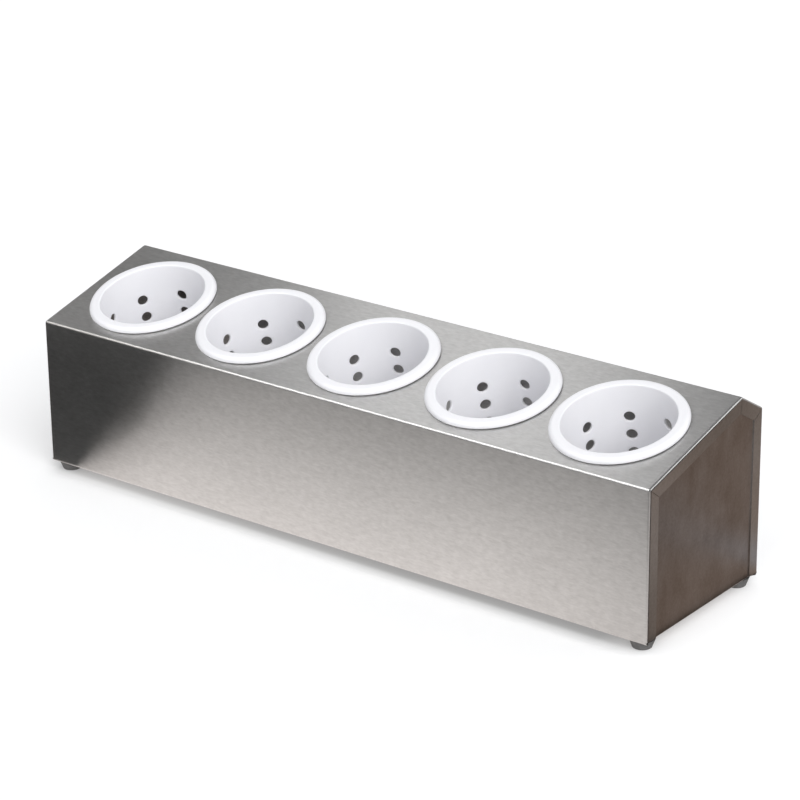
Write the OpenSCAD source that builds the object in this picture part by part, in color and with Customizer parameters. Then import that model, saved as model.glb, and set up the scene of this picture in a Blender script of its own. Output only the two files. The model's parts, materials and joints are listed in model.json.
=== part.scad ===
// Countertop cutlery holder: a folded sheet housing with a sloping top panel that carries
// five lift-out perforated cups, closed by two end panels and standing on four rubber feet.
// X runs along the length, the front looks towards -Y, Z is up, and the origin lies on the
// surface that the feet stand on, under the middle of the housing. Sizes are in millimetres.

/* [Cups] */
// Outside diameter of a cup at the top panel
cup_d = 99; // [85:0.5:110]
// Depth of a cup below the top panel
cup_depth = 133; // [115:1:150]
// Thickness of the cup's wall, bottom and rim
cup_wall = 2.2; // [1.6:0.1:3]
// Draft of the cup's wall, in degrees
cup_draft = 1.3; // [0.5:0.1:2.5]
// Overhang of the rim around the cup
rim_w = 8; // [6:0.5:11]
// Height of the rim above the top panel
rim_h = 5.3; // [5.2:0.1:7]
// Rounding of the rim's outer shoulder
rim_round = 4.2; // [3.4:0.1:4.3]
// Rounding of the lip at the mouth
lip_round = 1.2; // [0.8:0.1:2.4]
// Width of the ring under the rim that rests on the top panel
rim_seat = 0.6; // [0.4:0.1:1.2]
// Height of the rim's outer edge above the top panel
rim_lift = 0.9; // [0.4:0.1:1]
// Rounding of the edge under the cup
base_round = 5; // [3:0.5:7]
// Turn of each cup in its hole, from left to right, in degrees
cup_turns = [14, 42, 19, 6, 27]; // [0:1:359]

/* [Drain holes] */
// Diameter of a drain hole
drain_d = 9.5; // [6:0.5:12]
// Drain holes around a cup
drain_columns = 8; // [6:1:10]
// Depth of the first row below the top panel
drain_first = 25.5; // [18:0.5:32]
// Distance from row to row
drain_pitch = 17.4; // [15:0.1:24]
// Plain wall that stays between the last row and the bottom
drain_margin = 15; // [12:0.5:20]
// Radius of the ring of holes in the cup's bottom
base_ring = 26; // [20:0.5:30]
// Holes in that ring
base_holes = 6; // [4:1:8]

/* [Housing] */
// Slope of the top panel, in degrees
top_slope = 14.3; // [8:0.1:20]
// Top panel in front of the rims, along the slope
front_gap = 10; // [6:0.5:20]
// Top panel behind the rims, along the slope
rear_gap = 13; // [6:0.5:25]
// Gap from rim to rim
rim_gap = 9; // [4:0.5:25]
// Top panel beyond the last rim, at each end
end_gap = 14.5; // [6:0.5:30]
// Free height under the cups
under_cup = 10.5; // [8:0.5:30]
// Length of the slanting strip behind the top panel
facet_len = 38; // [25:0.5:60]
// Bend between the top panel and that strip, in degrees
facet_bend = 45; // [35:1:60]

/* [Sheet] */
// Thickness of the sheet
sheet_t = 1; // [0.8:0.1:1.5]
// Inside radius of the bends
bend_r = 1.5; // [0.6:0.1:2]
// Width of the flanges turned in at the two ends
end_flange = 13; // [9:0.5:18]
// Width of the cuts between neighbouring flanges
mitre_gap = 0.6; // [0.4:0.1:1.2]
// Play between a cup and its hole, on the radius
seat_clear = 1; // [0.5:0.1:2]
// Hair gap between a resting rim and the top panel
rim_clear = 0.05; // [0.02:0.01:0.2]
// Play between an end panel and the housing around it
panel_clear = 0.3; // [0.2:0.1:0.8]

/* [Feet] */
// Diameter of a foot where it meets the housing
foot_top_d = 22; // [18:0.5:28]
// Diameter of the foot's tread
foot_d = 17; // [15:0.5:18]
// Height of a foot
foot_h = 8; // [7.5:0.5:14]
// Rounding of the tread's edge
foot_round = 1.4; // [0.5:0.1:2]
// Flange left free around a foot
foot_edge = 1.5; // [1:0.5:6]

/* [Fasteners] */
// Diameter of the foot screws
screw_d = 3; // [2.5:0.5:3.5]
// Length of the foot screws under the head
screw_len = 10; // [9:0.5:16]
// Diameter of the screw head
head_d = 5.6; // [5:0.1:6.5]
// Height of the screw head
head_h = 2.4; // [1.8:0.1:3]
// Depth of the screw head inside the foot's tread
head_sink = 1; // [0.6:0.1:2]
// Thickness of the washer under the head
washer_t = 0.5; // [0.4:0.1:1]
// Diameter of the washer
washer_d = 7; // [6.5:0.5:8]
// Width of the nut across its flats
nut_flats = 5.5; // [5:0.5:7]
// Thickness of the nut
nut_h = 2.4; // [2:0.1:3.2]
// Play of the screw in the foot, the sheets and the washer, on the radius
screw_clear = 0.25; // [0.1:0.05:0.5]
// Play of the screw in its nut, on the radius
thread_clear = 0.05; // [0.02:0.01:0.1]

/* [Hidden] */
$fn = 96;

steel = [0.72, 0.73, 0.74];
white = [0.95, 0.95, 0.96];
rubber = [0.3, 0.3, 0.31];
bright = [0.8, 0.8, 0.82];

// Reach of cutting tools past the faces they cut
over = 1;
// Flat steps in each rounded edge of a turned profile
arc_steps = 8;

// Cups in the row
cup_count = len(cup_turns);
cup_r = cup_d / 2;
rim_d = cup_d + 2 * rim_w;
cup_pitch = rim_d + rim_gap;
hole_d = cup_d + 2 * seat_clear;
low_r = cup_r - cup_depth * tan(cup_draft);
drain_rows = floor((cup_depth - drain_first - drain_margin) / drain_pitch) + 1;

// Housing outline, seen from the right end: y back from the front face, z up from the bottom edge
seat_run = front_gap + rim_d / 2;
top_len = seat_run + rim_d / 2 + rear_gap;
facet_fall = facet_bend - top_slope;
body_len = (cup_count - 1) * cup_pitch + rim_d + 2 * end_gap;
front_h = under_cup + cup_depth * cos(top_slope) + (low_r - seat_run) * sin(top_slope);
peak_y = top_len * cos(top_slope);
peak_z = front_h + top_len * sin(top_slope);
body_depth = peak_y + facet_len * cos(facet_fall);
back_h = peak_z - facet_len * sin(facet_fall);
outline = [[0, 0], [0, front_h], [peak_y, peak_z], [body_depth, back_h], [body_depth, 0]];

// Flanges under the housing, and the place of a foot on them
base_flange = foot_top_d + 2 * foot_edge;
foot_inset = base_flange / 2;
foot_x = body_len / 2 - foot_inset;
foot_y = body_depth / 2 - foot_inset;
sink_d = washer_d + 4 * screw_clear;
head_seat = head_sink + head_h;
bore_floor = head_seat + washer_t;

function unit(v) = v / norm(v);
function side_normal(p, i) =
    let (d = unit(p[(i + 1) % len(p)] - p[i])) [d[1], -d[0]];

// Moves side i of a convex outline inwards by d[i]
function inset_sides(p, d) = [
    for (i = [0 : len(p) - 1])
        let (before = (i + len(p) - 1) % len(p),
             a = side_normal(p, before),
             b = side_normal(p, i),
             c = a * b)
        p[i] + ((d[before] - d[i] * c) * a + (d[i] - d[before] * c) * b) / (1 - c * c)
];
function inset(p, d) = inset_sides(p, [for (i = [0 : len(p) - 1]) d]);

// Points on an arc around a centre
function arc(centre, r, from, to) = [
    for (i = [0 : arc_steps])
        centre + r * [cos(from + (to - from) * i / arc_steps), sin(from + (to - from) * i / arc_steps)]
];

// A convex outline with its corners rounded
module rounded(p, r) {
    n = len(p);
    centres = inset(p, r);
    polygon([
        for (i = [0 : n - 1])
            let (a = side_normal(p, (i + n - 1) % n),
                 b = side_normal(p, i),
                 from = atan2(-a[1], -a[0]),
                 turn = atan2(a[0] * b[1] - a[1] * b[0], a * b))
            each arc(centres[i], r, from, from + turn)
    ]);
}

// Turns an outline of y and z into a bar along X, centred
module along_x(length) {
    translate([-length / 2, -body_depth / 2, foot_h])
        rotate([90, 0, 90])
            linear_extrude(length) children();
}

// Sets its children on the top panel, at the hole of cup i
module at_seat(i) {
    translate([(i - (cup_count - 1) / 2) * cup_pitch,
               seat_run * cos(top_slope) - body_depth / 2,
               foot_h + front_h + seat_run * sin(top_slope)])
        rotate([top_slope, 0, 0]) children();
}

module at_foot(sx, sy) {
    translate([sx * foot_x, sy * foot_y, 0]) children();
}

module at_feet() {
    for (sx = [-1, 1])
        for (sy = [-1, 1])
            at_foot(sx, sy) children();
}

// Cut along the bisector of an outline corner, through the end flanges
module mitre_cut(i) {
    inner = inset(outline, end_flange)[i];
    start = inset(outline, sheet_t + bend_r)[i];
    run = unit(inner - start);
    aside = [-run[1], run[0]] * mitre_gap / 2;
    far = inner + run * over;
    polygon([start - aside, far - aside, far + aside, start + aside]);
}

// Opening that the end flanges leave free above the bottom flanges
module end_opening() {
    edge = inset(outline, end_flange);
    polygon([[edge[0][0], sheet_t], edge[1], edge[2], edge[3], [edge[4][0], sheet_t]]);
}

// Front, top, slanting strip and back folded from one sheet, with flanges at the ends and below
module body_shell() {
    color(steel) difference() {
        along_x(body_len) rounded(outline, bend_r + sheet_t);
        along_x(body_len - 2 * sheet_t) rounded(inset(outline, sheet_t), bend_r);
        along_x(body_len + 2 * over) end_opening();
        for (i = [1 : 3]) along_x(body_len + 2 * over) mitre_cut(i);
        along_x(body_len + 2 * over)
            translate([sheet_t + bend_r, sheet_t])
                square([body_depth - 2 * (sheet_t + bend_r), mitre_gap]);
        along_x(body_len + 2 * over)
            translate([base_flange, -over])
                square([body_depth - 2 * base_flange, 2 * over + sheet_t]);
        for (i = [0 : cup_count - 1])
            at_seat(i)
                translate([0, 0, -sheet_t - over])
                    cylinder(h = sheet_t + 2 * over, d = hole_d);
        at_feet()
            translate([0, 0, foot_h - over])
                cylinder(h = sheet_t + 2 * over, r = screw_d / 2 + screw_clear);
    }
}

// Section of an end panel: an upright sheet with a foot flange turned in below
module panel_section() {
    outer_x = body_len / 2 - sheet_t;
    inner_x = body_len / 2 - base_flange;
    bend = [outer_x - sheet_t - bend_r, 2 * sheet_t + bend_r];
    polygon(concat(
        [[inner_x, 2 * sheet_t], [inner_x, sheet_t]],
        arc(bend, bend_r + sheet_t, -90, 0),
        [[outer_x, peak_z], [outer_x - sheet_t, peak_z]],
        arc(bend, bend_r, 0, -90)
    ));
}

// Sheet that closes one end from inside the end flanges
module end_panel() {
    gap = sheet_t + panel_clear;
    color(steel) difference() {
        intersection() {
            translate([0, body_depth / 2, foot_h])
                rotate([90, 0, 0])
                    linear_extrude(body_depth) panel_section();
            along_x(body_len)
                rounded(inset_sides(outline, [gap, gap, gap, gap, sheet_t]), bend_r + panel_clear);
        }
        for (sy = [-1, 1])
            at_foot(1, sy)
                translate([0, 0, foot_h + sheet_t - over])
                    cylinder(h = sheet_t + 2 * over, r = screw_d / 2 + screw_clear);
    }
}

module end_panel_right() {
    end_panel();
}

module end_panel_left() {
    mirror([1, 0, 0]) end_panel();
}

// Half section of a cup; its zero height is the top panel
module cup_section() {
    lean = tan(cup_draft);
    slant = cos(cup_draft);
    mouth_r = cup_r - cup_wall / slant;
    rim_r = rim_d / 2;
    low = -cup_depth + base_round;
    low_in = -cup_depth + cup_wall + base_round - cup_wall / 2;
    in_round = base_round - cup_wall / 2;
    lip = rim_h - lip_round;
    under = rim_h - cup_wall;
    skirt_r = rim_r - cup_wall;
    shoulder = [rim_r - rim_round, rim_h - rim_round];
    polygon(concat(
        [[0, -cup_depth]],
        arc([cup_r + low * lean - base_round / slant, low], base_round, -90, -cup_draft),
        [[cup_r + under * lean, under]],
        arc(shoulder, rim_round - cup_wall, 90, 0),
        [[skirt_r, 0], [skirt_r + rim_seat, 0], [rim_r, rim_lift]],
        arc(shoulder, rim_round, 0, 90),
        arc([mouth_r + lip * lean + lip_round / slant, lip], lip_round, 90, 180 - cup_draft),
        arc([mouth_r + low_in * lean - in_round / slant, low_in], in_round, -cup_draft, -90),
        [[0, cup_wall - cup_depth]]
    ));
}

// Perforated cup that hangs by its rim
module cup(i) {
    drill_r = low_r - 2 * cup_wall - over;
    color(white) at_seat(i) translate([0, 0, rim_clear]) rotate([0, 0, cup_turns[i]]) difference() {
        rotate_extrude() cup_section();
        for (row = [0 : drain_rows - 1])
            for (column = [0 : drain_columns - 1])
                rotate([0, 0, column * 360 / drain_columns])
                    translate([drill_r, 0, -drain_first - row * drain_pitch])
                        rotate([0, 90, 0]) cylinder(h = cup_r + over - drill_r, d = drain_d);
        translate([0, 0, -cup_depth - over]) cylinder(h = cup_wall + 2 * over, d = drain_d);
        for (k = [0 : base_holes - 1])
            rotate([0, 0, k * 360 / base_holes])
                translate([base_ring, 0, -cup_depth - over])
                    cylinder(h = cup_wall + 2 * over, d = drain_d);
    }
}

// Tapered rubber foot with a sunk screw seat
module foot() {
    bore_r = screw_d / 2 + screw_clear;
    sink_r = sink_d / 2;
    tread_r = foot_d / 2;
    color(rubber) rotate_extrude() polygon(concat(
        [[bore_r, foot_h], [bore_r, bore_floor], [sink_r, bore_floor], [sink_r, 0]],
        arc([tread_r - foot_round, foot_round], foot_round, -90, 0),
        [[foot_top_d / 2, foot_h]]
    ));
}

module foot_front_left() {
    at_foot(-1, -1) foot();
}

module foot_front_right() {
    at_foot(1, -1) foot();
}

module foot_rear_left() {
    at_foot(-1, 1) foot();
}

module foot_rear_right() {
    at_foot(1, 1) foot();
}

// Washers between the screw heads and the feet
module foot_washers() {
    color(bright) at_feet()
        translate([0, 0, head_seat])
            difference() {
                cylinder(h = washer_t, d = washer_d);
                translate([0, 0, -over])
                    cylinder(h = washer_t + 2 * over, r = screw_d / 2 + screw_clear);
            }
}

// Pan-head screws with a cross recess, put in from below
module foot_screws() {
    slot_w = head_d / 8;
    slot_l = head_d * 0.55;
    face_d = head_d * 0.75;
    color(bright) at_feet() difference() {
        union() {
            translate([0, 0, head_sink + head_h / 2]) cylinder(h = head_h / 2, d = head_d);
            translate([0, 0, head_sink]) cylinder(h = head_h / 2, d1 = face_d, d2 = head_d);
            translate([0, 0, head_seat]) cylinder(h = screw_len, d = screw_d);
        }
        for (turn = [0, 90])
            rotate([0, 0, turn])
                translate([-slot_l / 2, -slot_w / 2, head_sink - over])
                    cube([slot_l, slot_w, over + head_h / 2]);
    }
}

// Hexagon nuts on the foot flanges of the end panels
module foot_nuts() {
    color(bright) at_feet()
        translate([0, 0, foot_h + 2 * sheet_t])
            difference() {
                cylinder(h = nut_h, d = nut_flats / cos(30), $fn = 6);
                translate([0, 0, -over])
                    cylinder(h = nut_h + 2 * over, r = screw_d / 2 + thread_clear);
            }
}

body_shell();
end_panel_left();
end_panel_right();
cup(0);  // cup_1
cup(1);  // cup_2
cup(2);  // cup_3
cup(3);  // cup_4
cup(4);  // cup_5
foot_front_left();
foot_front_right();
foot_rear_left();
foot_rear_right();
foot_washers();
foot_screws();
foot_nuts();
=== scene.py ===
"""Looks of the cutlery holder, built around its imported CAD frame."""
import json
import math

import bmesh
import bpy
from mathutils import Matrix, Vector
from mathutils.geometry import delaunay_2d_cdt


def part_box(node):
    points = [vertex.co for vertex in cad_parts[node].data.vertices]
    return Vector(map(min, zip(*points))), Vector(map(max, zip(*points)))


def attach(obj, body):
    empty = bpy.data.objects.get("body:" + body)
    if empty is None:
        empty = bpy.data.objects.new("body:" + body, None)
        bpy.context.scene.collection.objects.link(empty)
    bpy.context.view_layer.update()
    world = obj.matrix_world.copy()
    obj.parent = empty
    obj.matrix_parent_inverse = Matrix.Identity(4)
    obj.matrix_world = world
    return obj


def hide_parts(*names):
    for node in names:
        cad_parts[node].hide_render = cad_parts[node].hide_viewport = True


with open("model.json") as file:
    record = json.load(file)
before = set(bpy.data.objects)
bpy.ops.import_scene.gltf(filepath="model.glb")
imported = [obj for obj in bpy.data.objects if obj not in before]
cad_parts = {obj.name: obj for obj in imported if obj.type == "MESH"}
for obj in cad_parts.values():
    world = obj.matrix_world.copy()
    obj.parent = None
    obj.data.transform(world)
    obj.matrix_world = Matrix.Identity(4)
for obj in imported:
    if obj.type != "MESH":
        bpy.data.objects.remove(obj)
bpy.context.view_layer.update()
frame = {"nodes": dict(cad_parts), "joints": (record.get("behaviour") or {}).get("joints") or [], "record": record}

MM = 0.001

# Sheet housing
SHEET = 1.0 * MM
SHEET_EDGE = 0.12 * MM
SHARP_EDGE = math.radians(50)
BEND_R = 2.5 * MM
END_BEND_R = 2.2 * MM
FACET_BEND = math.radians(45)
END_FLANGE = 13.0 * MM
BASE_FLANGE = 25.0 * MM
FLANGE_TIP = 0.6 * MM
FLANGE_CUT = 14.0 * MM
MITRE_GAP = 0.6 * MM
HOLE_R = 50.5 * MM
SEAT_RUN = 67.5 * MM

# Cups
CUP_NODES = ["cup_1", "cup_2", "cup_3", "cup_4", "cup_5"]
CUP_TURNS = [14, 42, 19, 6, 27]
CUP_R = 49.5 * MM
CUP_DEPTH = 133.0 * MM
CUP_WALL = 2.2 * MM
CUP_DRAFT = math.radians(1.3)
CUP_EDGE = 0.15 * MM
RIM_R = 57.5 * MM
RIM_H = 5.3 * MM
RIM_CLEAR = 0.05 * MM
RIM_ROUND = 4.2 * MM
RIM_SEAT = 0.6 * MM
RIM_LIFT = 0.9 * MM
LIP_ROUND = 1.2 * MM
BASE_ROUND = 5.0 * MM
DRAIN_R = 4.75 * MM
DRAIN_EDGE = 0.35 * MM
DRAIN_COLUMNS = 8
DRAIN_ROWS = 6
DRAIN_FIRST = 25.5 * MM
DRAIN_PITCH = 17.4 * MM
BASE_RING = 26.0 * MM
BASE_HOLES = 6

# Fineness of the meshes
BEND_STEPS = 8
CELL_STEPS = 24
SKIRT_STEPS = 8
RIM_STEPS = 12
LIP_STEPS = 10
BASE_STEPS = 8
DRAIN_ACROSS = 12
DRAIN_ALONG = 6
BASE_HOLE_STEPS = 24
WELD = 2e-6
CUT_NEAR = 1e-7
# Rings around a drain hole: shares of the way from it to its cell's edge, and turns of its rounded edge
DRAIN_RINGS = (0.55, 0.25, 0.0)
DRAIN_EDGE_TURNS = (math.pi / 4, math.pi / 2)

# Camera, from the photograph's edges and rims
CAMERA_AT = (1.50601, -1.934878, 1.100667)
CAMERA_TURN = (68.0928, 0.61739, 37.39898)
CAMERA_LENS = 139.55
CAMERA_SENSOR = 36
CAMERA_NEAR = 0.05
CAMERA_FAR = 50

# Places that the frame gives
shell_lo, shell_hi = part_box("body_shell")
BODY_LEN = shell_hi.x - shell_lo.x
BODY_DEPTH = shell_hi.y - shell_lo.y
FRONT_Y = shell_lo.y
BASE_Z = shell_lo.z
lift = frame["joints"][0]["axis"]
SLOPE = math.atan2(-lift[1], lift[2])
cup_boxes = [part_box(name) for name in CUP_NODES]
cup_xs = [(lo.x + hi.x) / 2 for lo, hi in cup_boxes]
CUP_PITCH = (cup_xs[-1] - cup_xs[0]) / (len(cup_xs) - 1)
CUP_MIDDLE = (cup_xs[-1] + cup_xs[0]) / 2


def seat_x(i):
    return CUP_MIDDLE + (i - (len(CUP_NODES) - 1) / 2) * CUP_PITCH


def top_of_side(y):
    """Height of the highest CAD point of the housing on the plane at this depth."""
    on_plane = 0.01 * MM
    points = frame["nodes"]["body_shell"].data.vertices
    return max(v.co.z for v in points if abs(v.co.y - y) < on_plane) - BASE_Z


# Outline of the housing seen from its end, from the foot of the front round to the foot of the back
facet_fall = FACET_BEND - SLOPE
front_turn = math.pi / 2 - SLOPE
back_turn = math.pi / 2 - facet_fall
FRONT_H = top_of_side(shell_lo.y) + BEND_R * math.tan(front_turn / 2)
BACK_H = top_of_side(shell_hi.y) + BEND_R * math.tan(back_turn / 2)
rise, fall = math.tan(SLOPE), math.tan(facet_fall)
peak_y = (BACK_H + fall * BODY_DEPTH - FRONT_H) / (rise + fall)
OUTLINE = [
    Vector((0, 0)),
    Vector((0, FRONT_H)),
    Vector((peak_y, FRONT_H + rise * peak_y)),
    Vector((BODY_DEPTH, BACK_H)),
    Vector((BODY_DEPTH, 0)),
]


def side_normal(points, i):
    """Inward normal of the side that starts at this corner."""
    d = (points[(i + 1) % len(points)] - points[i]).normalized()
    return Vector((d.y, -d.x))


def inset(points, d):
    """The corners of a convex outline moved inwards by d."""
    out = []
    for i, point in enumerate(points):
        a = side_normal(points, (i - 1) % len(points))
        b = side_normal(points, i)
        out.append(point + d * (a + b) / (1 + a.dot(b)))
    return out


def arc(centre, r, start, end, steps):
    return [
        centre + r * Vector((math.cos(t), math.sin(t)))
        for t in (start + (end - start) * k / steps for k in range(steps + 1))
    ]


BEND_CENTRES = inset(OUTLINE, BEND_R)


def corner_arc(i, deep):
    """Bend i of the outline, deep metres inside its outer face."""
    a = side_normal(OUTLINE, (i - 1) % len(OUTLINE))
    b = side_normal(OUTLINE, i)
    start = math.atan2(-a.y, -a.x)
    turn = math.atan2(a.x * b.y - a.y * b.x, a.dot(b))
    return arc(BEND_CENTRES[i], BEND_R - deep, start, start + turn, BEND_STEPS)


def corner_arcs(deep):
    return [corner_arc(i, deep) for i in range(len(OUTLINE))]


BENDS = corner_arcs(0)
END_X = BODY_LEN / 2 - END_BEND_R
TOP_START, TOP_STOP = BENDS[1][-1], BENDS[2][0]
TOP_RUN = (TOP_STOP - TOP_START).length
TOP_ALONG = (TOP_STOP - TOP_START) / TOP_RUN


def place(x, p):
    """A point of the outline at this place along the housing, in the part's frame."""
    return Vector((x, FRONT_Y + p.x, BASE_Z + p.y))


def on_top(run):
    """A point of the top panel's outline, at this distance from the front bend."""
    return TOP_START + TOP_ALONG * run


def hole_cell(centre, r, low, high, across, along):
    """Boundary points of a rectangle and the matching points of a round hole in it."""
    (x0, y0), (x1, y1) = low, high
    edge = [(x0 + (x1 - x0) * k / across, y0) for k in range(across)]
    edge += [(x1, y0 + (y1 - y0) * k / along) for k in range(along)]
    edge += [(x1 - (x1 - x0) * k / across, y1) for k in range(across)]
    edge += [(x0, y1 - (y1 - y0) * k / along) for k in range(along)]
    edge = [Vector(e) for e in edge]
    return edge, [centre + r * (e - centre).normalized() for e in edge]


def add_quads(bm, rows, closed=False):
    """Joins rows of equally many points with faces."""
    rings = [[bm.verts.new(p) for p in row] for row in rows]
    n = len(rings[0])
    for a, b in zip(rings, rings[1:]):
        for k in range(n if closed else n - 1):
            bm.faces.new((a[k], a[(k + 1) % n], b[(k + 1) % n], b[k]))


def weld(bm):
    """Joins points that coincide, and turns all faces the same way."""
    bmesh.ops.remove_doubles(bm, verts=bm.verts, dist=WELD)
    bmesh.ops.recalc_face_normals(bm, faces=bm.faces)


def smooth_mesh(bm, name):
    mesh = bpy.data.meshes.new(name)
    bm.to_mesh(mesh)
    bm.free()
    for face in mesh.polygons:
        face.use_smooth = True
    return mesh


def new_object(mesh, name):
    obj = bpy.data.objects.new(name, mesh)
    bpy.context.scene.collection.objects.link(obj)
    return obj


def add_strip(bm, points, xs):
    add_quads(bm, [[place(x, p) for x in xs] for p in points])


def add_base_flanges(bm, xs):
    """Bottom flanges, which run past the bends of the end flanges and have cut-back corners."""
    reach = BODY_LEN / 2 - FLANGE_TIP
    trim = [-reach] + xs + [reach]
    cut_back = [x * (1 - FLANGE_CUT / reach) for x in trim]
    flanges = [(BENDS[0], BASE_FLANGE), (BENDS[4][::-1], BODY_DEPTH - BASE_FLANGE)]
    for bend, free_at in flanges:
        add_strip(bm, bend, trim)
        free_edge = [place(x, Vector((free_at, 0))) for x in cut_back]
        add_quads(bm, [free_edge, [place(x, bend[0]) for x in trim]])


def add_sides(bm, xs):
    """Front, rear strip and back, with the upper bends."""
    for bend in BENDS[1:4]:
        add_strip(bm, bend, xs)
    for i in (0, 2, 3):
        add_strip(bm, [BENDS[i][-1], BENDS[i + 1][0]], xs)


def add_top(bm, breaks):
    """Top panel, one cell around each hole."""
    seat = SEAT_RUN - (TOP_START - OUTLINE[1]).length
    for i, (a, b) in enumerate(zip(breaks, breaks[1:])):
        middle = Vector((seat_x(i), seat))
        edge, hole = hole_cell(middle, HOLE_R, (a, 0), (b, TOP_RUN), CELL_STEPS, CELL_STEPS)
        rings = [[place(q.x, on_top(q.y)) for q in ring] for ring in (hole, edge)]
        add_quads(bm, rings, closed=True)


def add_end_bend(bm, sign):
    """The bend from the housing into the flanges of one end."""
    inward = side_normal(OUTLINE, 1)
    tops = [on_top(TOP_RUN * k / CELL_STEPS) for k in range(CELL_STEPS + 1)]
    rows = []
    for k in range(BEND_STEPS + 1):
        t = math.pi / 2 * k / BEND_STEPS
        deep = END_BEND_R * (1 - math.cos(t))
        x = sign * (END_X + END_BEND_R * math.sin(t))
        arcs = corner_arcs(deep)
        row = [arcs[0][-1]] + arcs[1][:-1]
        row += [p + inward * deep for p in tops]
        row += arcs[2][1:] + arcs[3] + [arcs[4][0]]
        rows.append([place(x, p) for p in row])
    add_quads(bm, rows[::sign])


def add_end_flanges(bm, sign):
    """The four flanges of one end, with mitred corners."""
    x = sign * BODY_LEN / 2
    arcs = corner_arcs(END_BEND_R)
    inner = inset(OUTLINE, END_FLANGE)
    for i in range(len(OUTLINE) - 1):
        a, b = arcs[i][-1], arcs[i + 1][0]
        mitre = (b - a).normalized() * MITRE_GAP / 2
        inner_a, inner_b = inner[i] + mitre, inner[i + 1] - mitre
        if i == 0:
            inner_a = Vector((inner[i].x, a.y))
        if i == len(OUTLINE) - 2:
            inner_b = Vector((inner[i + 1].x, b.y))
        steps = CELL_STEPS if i == 1 else 1
        shares = [k / steps for k in range(steps + 1)]
        flange = [
            [place(x, a + (b - a) * share) for share in shares],
            [place(x, inner_a + (inner_b - inner_a) * share) for share in shares],
        ]
        add_quads(bm, flange[::sign])


def build_shell():
    """The folded sheet as one skin, which gets its thickness from a modifier."""
    bm = bmesh.new()
    breaks = [seat_x(i) + CUP_PITCH / 2 for i in range(len(CUP_NODES) - 1)]
    breaks = [-END_X] + breaks + [END_X]
    xs = [breaks[0]]
    for a, b in zip(breaks, breaks[1:]):
        xs += [a + (b - a) * k / CELL_STEPS for k in range(1, CELL_STEPS + 1)]
    add_base_flanges(bm, xs)
    add_sides(bm, xs)
    add_top(bm, breaks)
    for sign in (-1, 1):
        add_end_bend(bm, sign)
        add_end_flanges(bm, sign)
    weld(bm)
    bm.normal_update()
    front = min(bm.faces, key=lambda f: f.calc_center_median().y)
    if front.normal.y > 0:
        bmesh.ops.reverse_faces(bm, faces=bm.faces)
    return new_object(smooth_mesh(bm, "housing_sheet"), "housing_sheet")


# Cup, around its own axis, with its zero height on the top panel
DRAFT_LEAN = math.tan(CUP_DRAFT)
DRAFT_SLANT = math.cos(CUP_DRAFT)
MOUTH_R = CUP_R - CUP_WALL / DRAFT_SLANT
HALF_CELL = math.pi / DRAIN_COLUMNS
CUP_SIDES = DRAIN_ACROSS * DRAIN_COLUMNS
CUP_SPOKES = [2 * math.pi * k / CUP_SIDES + HALF_CELL for k in range(CUP_SIDES)]
BAND_TOP = -DRAIN_FIRST + DRAIN_PITCH / 2
BAND_LOW = -DRAIN_FIRST - (DRAIN_ROWS - 0.5) * DRAIN_PITCH
FLOOR_OUT = -CUP_DEPTH
FLOOR_IN = CUP_WALL - CUP_DEPTH


def polar(r, t, w):
    return Vector((r * math.cos(t), r * math.sin(t), w))


def wall_r(w, inside=False):
    """Radius of the cup's wall at this height above the top panel."""
    r = CUP_R + w * DRAFT_LEAN
    return r - CUP_WALL / DRAFT_SLANT if inside else r


def wall_point(w, inside=False):
    return Vector((wall_r(w, inside), w))


def add_turned(bm, profile):
    add_quads(bm, [[polar(r, t, w) for t in CUP_SPOKES] for r, w in profile], closed=True)


def add_rim(bm):
    """Rim, from the outer wall over the lip to the inner wall."""
    under = RIM_H - CUP_WALL
    skirt_r = RIM_R - CUP_WALL
    seat_r = skirt_r + RIM_SEAT
    shoulder = Vector((RIM_R - RIM_ROUND, RIM_H - RIM_ROUND))
    slant = Vector((CUP_WALL - RIM_SEAT, RIM_LIFT)).normalized() * CUP_EDGE
    rim = [wall_point(BAND_TOP), wall_point(under - CUP_EDGE)]
    rim += [Vector((wall_r(under) + CUP_EDGE, under))]
    rim += arc(shoulder, RIM_ROUND - CUP_WALL, math.pi / 2, 0, SKIRT_STEPS)
    rim += [Vector((skirt_r, CUP_EDGE)), Vector((skirt_r + CUP_EDGE, 0))]
    rim += [Vector((seat_r - CUP_EDGE, 0)), Vector((seat_r, 0)) + slant]
    rim += [Vector((RIM_R, RIM_LIFT)) - slant]
    rim += arc(shoulder, RIM_ROUND, 0, math.pi / 2, RIM_STEPS)
    lip = RIM_H - LIP_ROUND
    lip_centre = Vector((MOUTH_R + lip * DRAFT_LEAN + LIP_ROUND / DRAFT_SLANT, lip))
    rim += arc(lip_centre, LIP_ROUND, math.pi / 2, math.pi - CUP_DRAFT, LIP_STEPS)
    rim += [wall_point(BAND_TOP, True)]
    add_turned(bm, rim)


def on_wall(turn, side, w, depth, inside):
    """A point beside a column's middle line, depth metres inside the wall's surface."""
    r = wall_r(w, inside) + (depth if inside else -depth)
    t = turn + math.asin(max(-1.0, min(1.0, side / r)))
    return polar(r, t, w)


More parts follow.
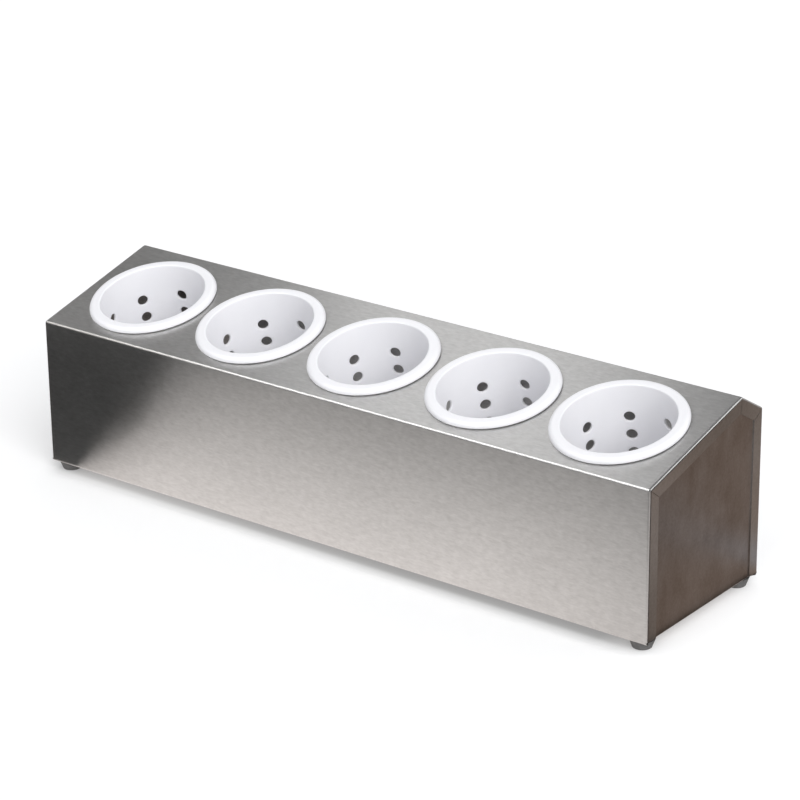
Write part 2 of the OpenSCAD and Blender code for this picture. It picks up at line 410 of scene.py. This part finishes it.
def add_drain_cell(bm, turn, w):
    """One cell of the wall: both faces, the rounded edges of its drain hole and the hole's wall."""
    middle = Vector((0, w))
    low = (-HALF_CELL * CUP_R, w - DRAIN_PITCH / 2)
    high = (HALF_CELL * CUP_R, w + DRAIN_PITCH / 2)
    cell, hole = hole_cell(middle, DRAIN_R, low, high, DRAIN_ACROSS, DRAIN_ALONG)
    outward = [(h - middle).normalized() for h in hole]
    mouths = []
    for inside in (False, True):
        rows = [[polar(wall_r(e.y, inside), turn + e.x / CUP_R, e.y) for e in cell]]
        for share in DRAIN_RINGS:
            ring = []
            for e, h, o in zip(cell, hole, outward):
                start = h + o * DRAIN_EDGE
                q = start.lerp(e, share)
                side = start.x * (1 - share) + wall_r(q.y, inside) * math.sin(e.x / CUP_R) * share
                ring.append(on_wall(turn, side, q.y, 0, inside))
            rows.append(ring)
        for t in DRAIN_EDGE_TURNS:
            wide = DRAIN_EDGE * (1 - math.sin(t))
            depth = DRAIN_EDGE * (1 - math.cos(t))
            edge = [h + o * wide for h, o in zip(hole, outward)]
            rows.append([on_wall(turn, q.x, q.y, depth, inside) for q in edge])
        add_quads(bm, rows[::-1] if inside else rows, closed=True)
        mouths.append(rows[-1])
    add_quads(bm, mouths, closed=True)


def add_base_rounds(bm):
    """Rounded edges around the bottom; gives the radii of its outer and inner face."""
    low = FLOOR_OUT + BASE_ROUND
    centre = Vector((CUP_R + low * DRAFT_LEAN - BASE_ROUND / DRAFT_SLANT, low))
    outer = arc(centre, BASE_ROUND, -math.pi / 2, -CUP_DRAFT, BASE_STEPS)
    add_turned(bm, outer + [wall_point(BAND_LOW)])
    in_round = BASE_ROUND - CUP_WALL / 2
    low = FLOOR_IN + in_round
    centre = Vector((MOUTH_R + low * DRAFT_LEAN - in_round / DRAFT_SLANT, low))
    inner = arc(centre, in_round, -CUP_DRAFT, -math.pi / 2, BASE_STEPS)
    add_turned(bm, [wall_point(BAND_LOW, True)] + inner)
    return outer[0].x, inner[-1].x


def ring_edges(first, count):
    return [(first + k, first + (k + 1) % count) for k in range(count)]


def add_base(bm, outer_r, inner_r):
    """Both faces of the bottom and the walls of its drain holes."""
    centres = [Vector((0, 0))]
    centres += [polar(BASE_RING, 2 * math.pi * k / BASE_HOLES, 0).xy for k in range(BASE_HOLES)]
    steps = [2 * math.pi * k / BASE_HOLE_STEPS for k in range(BASE_HOLE_STEPS)]
    holes = [[c + polar(DRAIN_R, t, 0).xy for t in steps] for c in centres]
    # A face whose middle lies this close to a hole's centre fills the hole, and is left out
    in_hole = DRAIN_R * 0.99
    for level, radius, up in ((FLOOR_OUT, outer_r, False), (FLOOR_IN, inner_r, True)):
        points = [polar(radius, t, 0).xy for t in CUP_SPOKES]
        edges = ring_edges(0, CUP_SIDES)
        for hole in holes:
            edges += ring_edges(len(points), BASE_HOLE_STEPS)
            points += hole
        coords, _, faces, *_ = delaunay_2d_cdt(points, edges, [], 0, CUT_NEAR)
        verts = [bm.verts.new((p.x, p.y, level)) for p in coords]
        for f in faces:
            middle = sum((coords[k] for k in f), Vector((0, 0))) / len(f)
            if any((middle - c).length < in_hole for c in centres):
                continue
            face = [verts[k] for k in f]
            bm.faces.new(face if up else face[::-1])
    for hole in holes:
        walls = [[Vector((p.x, p.y, level)) for p in hole] for level in (FLOOR_IN, FLOOR_OUT)]
        add_quads(bm, walls, closed=True)


def build_cup():
    bm = bmesh.new()
    add_rim(bm)
    outer_r, inner_r = add_base_rounds(bm)
    for row in range(DRAIN_ROWS):
        for column in range(DRAIN_COLUMNS):
            add_drain_cell(bm, 2 * HALF_CELL * column, -DRAIN_FIRST - row * DRAIN_PITCH)
    add_base(bm, outer_r, inner_r)
    weld(bm)
    return smooth_mesh(bm, "cup")


# Range that a noise mostly covers
NOISE_LOW, NOISE_HIGH = 0.3, 0.7


class Nodes:
    """Short hand for building one material's node tree."""

    def __init__(self, name):
        self.material = bpy.data.materials.new(name)
        self.material.use_nodes = True
        self.tree = self.material.node_tree
        self.shader = self.tree.nodes["Principled BSDF"]
        self.coords = self.add("ShaderNodeTexCoord").outputs["Object"]

    def add(self, kind, **values):
        node = self.tree.nodes.new(kind)
        for key, value in values.items():
            setattr(node, key, value)
        return node

    def link(self, a, b):
        self.tree.links.new(a, b)

    def noise(self, scale, detail=3.0, rough=0.55, shift=(0, 0, 0)):
        """Noise of this scale, given once or for each axis."""
        mapping = self.add("ShaderNodeMapping")
        mapping.inputs["Scale"].default_value = scale if isinstance(scale, tuple) else (scale,) * 3
        mapping.inputs["Location"].default_value = shift
        self.link(self.coords, mapping.inputs["Vector"])
        noise = self.add("ShaderNodeTexNoise")
        noise.inputs["Scale"].default_value = 1.0
        noise.inputs["Detail"].default_value = detail
        noise.inputs["Roughness"].default_value = rough
        self.link(mapping.outputs["Vector"], noise.inputs["Vector"])
        return noise.outputs["Fac"]

    def mix(self, a, b, share=0.5):
        node = self.add("ShaderNodeMix", data_type="FLOAT")
        node.inputs["Factor"].default_value = share
        self.link(a, node.inputs["A"])
        self.link(b, node.inputs["B"])
        return node.outputs["Result"]

    def colour(self, value, low, high, start=NOISE_LOW, stop=NOISE_HIGH):
        """Base colour from low to high as the input goes from start to stop."""
        node = self.add("ShaderNodeValToRGB")
        for element, at, tone in zip(node.color_ramp.elements, (start, stop), (low, high)):
            element.position = at
            element.color = (*tone, 1)
        self.link(value, node.inputs["Fac"])
        self.link(node.outputs["Color"], self.shader.inputs["Base Color"])

    def roughness(self, value, low, high):
        """Roughness from low to high over the range that a noise covers."""
        node = self.add("ShaderNodeMapRange")
        node.inputs["From Min"].default_value = NOISE_LOW
        node.inputs["From Max"].default_value = NOISE_HIGH
        node.inputs["To Min"].default_value = low
        node.inputs["To Max"].default_value = high
        self.link(value, node.inputs["Value"])
        self.link(node.outputs["Result"], self.shader.inputs["Roughness"])

    def bump(self, height, strength, distance):
        node = self.add("ShaderNodeBump")
        node.inputs["Strength"].default_value = strength
        node.inputs["Distance"].default_value = distance
        self.link(height, node.inputs["Height"])
        self.link(node.outputs["Normal"], self.shader.inputs["Normal"])

    def set(self, **values):
        for key, value in values.items():
            self.shader.inputs[key.replace("_", " ")].default_value = value


def brushed_sheet():
    n = Nodes("brushed_sheet")
    fine = n.noise((170, 700, 700), detail=2.0, rough=0.6)
    wide = n.noise((140, 320, 320), detail=2.0, rough=0.6, shift=(3, 0, 0))
    cloud = n.noise(14.0, detail=4.0)
    grain = n.mix(fine, wide, 0.55)
    n.colour(grain, (0.51, 0.505, 0.50), (0.64, 0.635, 0.63))
    n.roughness(n.mix(grain, cloud, 0.6), 0.285, 0.345)
    n.set(Metallic=1.0, Anisotropic=0.8)
    tangent = n.add("ShaderNodeTangent", direction_type="RADIAL", axis="X")
    n.link(tangent.outputs["Tangent"], n.shader.inputs["Tangent"])
    n.bump(grain, 0.06, 0.05 * MM)
    return n.material


def end_sheet():
    n = Nodes("end_sheet")
    fine = n.noise((900, 420, 420), detail=2.0, rough=0.6)
    cloud = n.noise(38.0, detail=4.0, rough=0.6)
    streak = n.noise((70, 70, 26), rough=0.6)
    stain = n.mix(cloud, streak, 0.4)
    tone = n.mix(fine, stain, 0.75)
    # Base colour darker and browner than the brushed sheet: partly its duller mill finish, partly a painted brown
    # reflection
    n.colour(tone, (0.34, 0.305, 0.285), (0.56, 0.535, 0.525), start=0.34, stop=0.66)
    n.roughness(stain, 0.285, 0.42)
    n.set(Metallic=1.0)
    n.bump(n.mix(fine, cloud, 0.3), 0.08, 0.05 * MM)
    return n.material


def cup_plastic():
    n = Nodes("cup_plastic")
    cloud = n.noise(30.0)
    fine = n.noise(900.0, detail=2.0)
    n.colour(cloud, (0.94, 0.937, 0.965), (0.965, 0.962, 0.985))
    n.roughness(n.mix(cloud, fine), 0.30, 0.40)
    n.set(Subsurface_Weight=0.12, Subsurface_Scale=0.8 * MM, IOR=1.49)
    n.set(Subsurface_Radius=(1.0, 0.97, 0.95))
    n.bump(fine, 0.05, 0.03 * MM)
    return n.material


def foot_rubber():
    n = Nodes("foot_rubber")
    cloud = n.noise(160.0, detail=4.0)
    fine = n.noise(1600.0, detail=2.0)
    n.colour(cloud, (0.115, 0.113, 0.112), (0.165, 0.162, 0.16))
    n.roughness(n.mix(cloud, fine), 0.62, 0.82)
    n.bump(fine, 0.25, 0.05 * MM)
    return n.material


def fastener_steel():
    n = Nodes("fastener_steel")
    cloud = n.noise(220.0)
    fine = n.noise(2400.0, detail=2.0)
    n.colour(cloud, (0.55, 0.55, 0.54), (0.68, 0.68, 0.67))
    n.roughness(n.mix(cloud, fine), 0.29, 0.42)
    n.set(Metallic=1.0)
    n.bump(fine, 0.10, 0.02 * MM)
    return n.material


def give(obj, material):
    obj.data.materials.clear()
    obj.data.materials.append(material)


def thicken(obj, amount):
    """Gives a skin its sheet thickness inwards, with slightly rounded edges."""
    solid = obj.modifiers.new("thickness", "SOLIDIFY")
    solid.thickness = amount
    solid.offset = -1
    solid.use_even_offset = True
    edge = obj.modifiers.new("edges", "BEVEL")
    edge.width = SHEET_EDGE
    edge.segments = 2
    edge.limit_method = "ANGLE"
    edge.angle_limit = SHARP_EDGE
    weighted = obj.modifiers.new("normals", "WEIGHTED_NORMAL")
    weighted.keep_sharp = True


MATERIALS = {
    "brushed_sheet": brushed_sheet(),
    "end_sheet": end_sheet(),
    "cup_plastic": cup_plastic(),
    "foot_rubber": foot_rubber(),
    "fastener_steel": fastener_steel(),
}

# The CAD nodes get the finish of their slots
for part in frame["record"]["subparts"]:
    give(frame["nodes"][part["node"]], MATERIALS[part["material_slot"]])

shell = build_shell()
give(shell, MATERIALS["brushed_sheet"])
thicken(shell, SHEET)
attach(shell, "housing")
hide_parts("body_shell")

cup_mesh = build_cup()
cup_mesh.materials.append(MATERIALS["cup_plastic"])
cup_seat = OUTLINE[1] + SEAT_RUN * Vector((math.cos(SLOPE), math.sin(SLOPE)))
for i, (node, turn) in enumerate(zip(CUP_NODES, CUP_TURNS)):
    turned_mesh = cup_mesh.copy()
    turned_mesh.transform(Matrix.Rotation(math.radians(turn), 4, "Z"))
    cup = new_object(turned_mesh, f"{node}_moulding")
    cup.matrix_world = (
        Matrix.Translation(place(seat_x(i), cup_seat))
        @ Matrix.Rotation(SLOPE, 4, "X")
        @ Matrix.Translation((0, 0, RIM_CLEAR))
    )
    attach(cup, f"{node}_body")
    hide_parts(node)


def grey(level):
    return (level, level, level)


# Floor: half its width, its paper and the lift that only the camera sees, its painted contact shadow, and what the
# metal mirrors of it. Each list of tones gives places along one axis, in metres, and the colour there.
FLOOR_HALF = 8
PAPER = 0.86
# The lift rises right of the end panel: painted light that lightens the floor's shadow beside it
FLOOR_LIFT = [(0.29, grey(0.24)), (0.35, grey(0.37))]
# Painted contact shadow: the paper darkens towards CONTACT_TONE within CONTACT_REACH of the object, by ambient
# occlusion
CONTACT_REACH = 0.02
CONTACT_RANGE = (0.35, 0.95)
CONTACT_TONE = 0.24
CONTACT_SIDES = [(-0.30, grey(0.38)), (0.08, grey(0.0)), (0.27, grey(0.0)), (0.33, grey(1.0))]
FLOOR_TONES = [
    (-0.60, grey(0.08)),
    (-0.43, grey(0.12)),
    (-0.345, (0.38, 0.37, 0.36)),
    (-0.29, (0.72, 0.70, 0.68)),
    (-0.22, (1.06, 1.01, 0.98)),
    (-0.10, (1.22, 1.15, 1.11)),
]
FLOOR_SIDES = [
    (-0.38, grey(0.48)),
    (-0.33, grey(0.58)),
    (-0.30, grey(0.75)),
    (-0.27, grey(0.92)),
    (-0.235, grey(1.0)),
    (0.12, grey(1.0)),
    (0.28, grey(0.80)),
]

# Reflection cards: the levels of those on the floor, the height of those overhead and how far they reach
UNDER_Z = 1 * MM
SIDE_Z = 2 * MM
BAND_Z = 3 * MM
CORNER_Z = 4 * MM
END_FOOT_Z = 5 * MM
OVERHEAD_Z = 1.2
CARD_FAR = 3.0
BEND_NEAR, BEND_FAR = -1.04, -0.52
OVER_FAR = -0.16
OVERHEAD_X = (-2.0, 0.3)
# Upright dark card before the left corner, and its slanting edge as places and heights
DARK_Y = -0.14
DARK_TOP = 0.16
DARK_EDGE = [
    (-0.306, 0.0),
    (-0.278, 0.021),
    (-0.258, 0.036),
    (-0.249, 0.059),
    (-0.231, 0.113),
    (-0.21, DARK_TOP),
]
UNDER_TONES = [
    (-0.30, grey(2.1)),
    (-0.10, grey(1.8)),
    (0.15, grey(1.6)),
    (0.28, grey(0.5)),
]
BEND_TONES = [
    (-1.14, (2.5, 2.4, 2.3)),
    (-1.08, (5.4, 5.3, 5.2)),
    (-1.03, grey(6.2)),
    (-0.95, grey(5.4)),
]
OVER_TONES = [
    (-1.10, grey(0.8)),
    (-0.90, grey(1.3)),
]
# The bands of the top panel run askew, so their axis is turned about Z
TOP_TURN = math.radians(31)
TOP_TONES = [
    (-0.69, grey(0.19)),
    (-0.63, grey(0.46)),
    (-0.575, grey(0.20)),
    (-0.53, grey(0.34)),
    (-0.47, grey(0.80)),
    (-0.42, grey(1.02)),
    (-0.37, grey(1.30)),
    (-0.30, grey(0.52)),
    (-0.245, grey(1.54)),
    (-0.206, grey(0.76)),
    (-0.154, grey(1.02)),
    (-0.086, grey(0.96)),
    (0.05, grey(0.12)),
]

# Colour sockets of the Mix node
MIX_A, MIX_B, MIX_RESULT = 6, 7, 2


def stage_plane(name, corners):
    mesh = bpy.data.meshes.new(name)
    mesh.from_pydata(corners, [], [tuple(range(len(corners)))])
    obj = new_object(mesh, name)
    return obj


def blank_material(name):
    material = bpy.data.materials.new(name)
    material.use_nodes = True
    material.node_tree.nodes.clear()
    out = material.node_tree.nodes.new("ShaderNodeOutputMaterial")
    return material, material.node_tree.nodes, material.node_tree.links, out


def tone_along(nodes, links, axis, stops):
    """A colour that changes with the place along one axis of the object, in metres."""
    low, high = stops[0][0], stops[-1][0]
    place_node = nodes.new("ShaderNodeTexCoord")
    split = nodes.new("ShaderNodeSeparateXYZ")
    span = nodes.new("ShaderNodeMapRange")
    span.inputs["From Min"].default_value = low
    span.inputs["From Max"].default_value = high
    ramp = nodes.new("ShaderNodeValToRGB")
    elements = ramp.color_ramp.elements
    while len(elements) < len(stops):
        elements.new(0.5)
    for element, (at, colour) in zip(elements, stops):
        element.position = (at - low) / (high - low)
        element.color = (*colour, 1)
    links.new(place_node.outputs["Object"], split.inputs[0])
    links.new(split.outputs[axis], span.inputs["Value"])
    links.new(span.outputs["Result"], ramp.inputs["Fac"])
    return ramp.outputs["Color"]


def colour_mix(nodes, blend="MIX"):
    node = nodes.new("ShaderNodeMix")
    node.data_type = "RGBA"
    node.blend_type = blend
    node.inputs["Factor"].default_value = 1.0
    return node


def paper_with_painted_shadow(nodes, links):
    """White paper with a painted contact shadow: darker close to the object, with less of that where CONTACT_SIDES
    rises.
    """
    close = nodes.new("ShaderNodeAmbientOcclusion")
    close.inputs["Distance"].default_value = CONTACT_REACH
    shade = nodes.new("ShaderNodeValToRGB")
    for element, at, tone in zip(shade.color_ramp.elements, CONTACT_RANGE, (CONTACT_TONE, PAPER)):
        element.position = at
        element.color = (*grey(tone), 1)
    links.new(close.outputs["AO"], shade.inputs["Fac"])
    paper = colour_mix(nodes)
    paper.inputs[MIX_B].default_value = (*grey(PAPER), 1)
    links.new(tone_along(nodes, links, "X", CONTACT_SIDES), paper.inputs["Factor"])
    links.new(shade.outputs["Color"], paper.inputs[MIX_A])
    return paper.outputs[MIX_RESULT]


def floor_material():
    """White paper that keeps the object's shadow and has a painted contact shadow added; in reflections it darkens
    towards the front.
    """
    material, nodes, links, out = blank_material("floor_white")
    path = nodes.new("ShaderNodeLightPath")
    diffuse = nodes.new("ShaderNodeBsdfDiffuse")
    links.new(paper_with_painted_shadow(nodes, links), diffuse.inputs["Color"])
    glow = nodes.new("ShaderNodeEmission")
    links.new(tone_along(nodes, links, "X", FLOOR_LIFT), glow.inputs["Color"])
    links.new(path.outputs["Is Camera Ray"], glow.inputs["Strength"])
    seen = nodes.new("ShaderNodeAddShader")
    links.new(diffuse.outputs[0], seen.inputs[0])
    links.new(glow.outputs[0], seen.inputs[1])

    both = colour_mix(nodes, "MULTIPLY")
    links.new(tone_along(nodes, links, "Y", FLOOR_TONES), both.inputs[MIX_A])
    links.new(tone_along(nodes, links, "X", FLOOR_SIDES), both.inputs[MIX_B])
    mirrored = nodes.new("ShaderNodeEmission")
    links.new(both.outputs[MIX_RESULT], mirrored.inputs["Color"])
    upper = nodes.new("ShaderNodeMixShader")
    links.new(path.outputs["Is Glossy Ray"], upper.inputs["Fac"])
    links.new(seen.outputs[0], upper.inputs[1])
    links.new(mirrored.outputs[0], upper.inputs[2])

    # Clear from below
    geometry = nodes.new("ShaderNodeNewGeometry")
    one_sided = nodes.new("ShaderNodeMixShader")
    links.new(geometry.outputs["Backfacing"], one_sided.inputs["Fac"])
    links.new(upper.outputs[0], one_sided.inputs[1])
    links.new(nodes.new("ShaderNodeBsdfTransparent").outputs[0], one_sided.inputs[2])
    links.new(one_sided.outputs[0], out.inputs["Surface"])
    return material


def reflection_card(name, corners, tone, axis=None, turn=0.0):
    """A card that shows only in reflections: one colour, or stops along an axis turned about Z."""
    card = stage_plane(name, corners)
    card.data.transform(Matrix.Rotation(-turn, 4, "Z"))
    card.rotation_euler = (0, 0, turn)
    material, nodes, links, out = blank_material(name)
    glow = nodes.new("ShaderNodeEmission")
    if axis:
        links.new(tone_along(nodes, links, axis, tone), glow.inputs["Color"])
    else:
        glow.inputs["Color"].default_value = (*tone, 1)
    links.new(glow.outputs[0], out.inputs["Surface"])
    give(card, material)
    card.visible_camera = False
    card.visible_diffuse = False
    card.visible_shadow = False
    card.visible_transmission = False


def rectangle(x0, x1, y0, y1):
    return [(x0, y0), (x1, y0), (x1, y1), (x0, y1)]


def level_with(z, corners):
    return [(x, y, z) for x, y in corners]


floor = stage_plane("floor", level_with(0, rectangle(-FLOOR_HALF, FLOOR_HALF, -FLOOR_HALF, FLOOR_HALF)))
give(floor, floor_material())

# Left of the front: the dark corner of the front panel
left_corners = [
    (-0.299, -0.088),
    (-CARD_FAR, -0.088),
    (-CARD_FAR, -CARD_FAR),
    (-0.99, -CARD_FAR),
    (-0.306, DARK_Y),
    (-0.303, -0.126),
]
reflection_card("card_left", level_with(SIDE_Z, left_corners), grey(0.064))
dark_edge = [(x, DARK_Y, z) for x, z in DARK_EDGE]
dark_edge += [(-CARD_FAR, DARK_Y, DARK_TOP), (-CARD_FAR, DARK_Y, 0.0)]
reflection_card("card_left_tall", dark_edge, grey(0.045))

# Right of the end panel: its brown tone, a lighter band, the dark corner and the dark foot
right_corners = [(0.318, -0.085), (CARD_FAR, -0.30), (CARD_FAR, CARD_FAR), (0.318, CARD_FAR)]
reflection_card("card_right", level_with(SIDE_Z, right_corners), (0.27, 0.212, 0.178))
band_corners = rectangle(0.325, 0.80, 0.108, 0.145)
reflection_card("card_band", level_with(BAND_Z, band_corners), (0.33, 0.32, 0.33))
corner_corners = [(0.320, -0.085), (CARD_FAR, 0.20), (CARD_FAR, 2.8)]
reflection_card("card_corner", level_with(CORNER_Z, corner_corners), grey(0.02))
foot_corners = rectangle(0.3205, 0.328, -0.084, 0.084)
reflection_card("card_end_foot", level_with(END_FOOT_Z, foot_corners), grey(0.012))
end_edge = [(0.95, 0.20, 0.95), (1.30, 0.20, 0.70), (1.30, 1.4, 0.70), (0.95, 1.4, 0.95)]
reflection_card("card_end_edge", end_edge, grey(2.2))
end_dark = [(1.5, y, z) for y, z in rectangle(-1.0, CARD_FAR, 0.0, 0.55)]
reflection_card("card_end_dark", end_dark, grey(0.05))

# Under the open housing: what its inner faces mirror, which the drain holes show
under_corners = rectangle(-0.30, 0.28, -0.045, 0.045)
reflection_card("card_under", level_with(UNDER_Z, under_corners), UNDER_TONES, "X")

# Overhead: the bright front bend, the front of the top panel and the top panel's bands
bend_corners = rectangle(*OVERHEAD_X, BEND_NEAR, BEND_FAR)
reflection_card("card_bend", level_with(OVERHEAD_Z, bend_corners), BEND_TONES, "X")
over_corners = rectangle(*OVERHEAD_X, BEND_FAR, OVER_FAR)
reflection_card("card_over", level_with(OVERHEAD_Z, over_corners), OVER_TONES, "X")
top_corners = rectangle(-2.2, 0.6, 0.2, 1.8)
reflection_card("card_top", level_with(OVERHEAD_Z, top_corners), TOP_TONES, "X", TOP_TURN)

# World: white to the camera, a plain fill for the lit surfaces and a darker tone for the metal
WORLD_FILL = 0.66
WORLD_FILL_TINT = (0.97, 0.98, 1.0)
WORLD_MIRRORED = 0.42
world = bpy.data.worlds.new("studio")
bpy.context.scene.world = world
world.use_nodes = True
w_nodes, w_links = world.node_tree.nodes, world.node_tree.links
w_nodes.clear()
w_out = w_nodes.new("ShaderNodeOutputWorld")
w_path = w_nodes.new("ShaderNodeLightPath")


def sky(level, colour=(1, 1, 1)):
    node = w_nodes.new("ShaderNodeBackground")
    node.inputs["Color"].default_value = (*colour, 1)
    node.inputs["Strength"].default_value = level
    return node.outputs[0]


def sky_mix(ray, a, b):
    node = w_nodes.new("ShaderNodeMixShader")
    w_links.new(w_path.outputs[ray], node.inputs["Fac"])
    w_links.new(a, node.inputs[1])
    w_links.new(b, node.inputs[2])
    return node.outputs[0]


lit = sky_mix("Is Glossy Ray", sky(WORLD_FILL, WORLD_FILL_TINT), sky(WORLD_MIRRORED))
w_links.new(sky_mix("Is Camera Ray", lit, sky(1.0)), w_out.inputs["Surface"])


def soft_sun(name, azimuth, elevation, spread, level):
    """Even light from one side; a white sheet square to it renders at this level."""
    data = bpy.data.lights.new(name, "SUN")
    data.angle = math.radians(spread)
    data.energy = level * math.pi
    lamp = bpy.data.objects.new(name, data)
    bpy.context.scene.collection.objects.link(lamp)
    turn, tilt = math.radians(azimuth), math.radians(elevation)
    towards = Vector((
        -math.sin(turn) * math.cos(tilt),
        math.cos(turn) * math.cos(tilt),
        -math.sin(tilt),
    ))
    lamp.rotation_mode = "QUATERNION"
    lamp.rotation_quaternion = towards.to_track_quat("-Z", "Y")
    return lamp


key = soft_sun("key", azimuth=55, elevation=36, spread=45, level=0.53)
key.visible_glossy = False

camera_data = bpy.data.cameras.new("camera")
camera_data.sensor_fit = "HORIZONTAL"
camera_data.sensor_width = CAMERA_SENSOR
camera_data.lens = CAMERA_LENS
camera_data.clip_start = CAMERA_NEAR
camera_data.clip_end = CAMERA_FAR
camera = bpy.data.objects.new("camera", camera_data)
bpy.context.scene.collection.objects.link(camera)
camera.location = CAMERA_AT
camera.rotation_euler = [math.radians(a) for a in CAMERA_TURN]
bpy.context.scene.camera = camera

bpy.context.scene.view_settings.view_transform = "Standard"
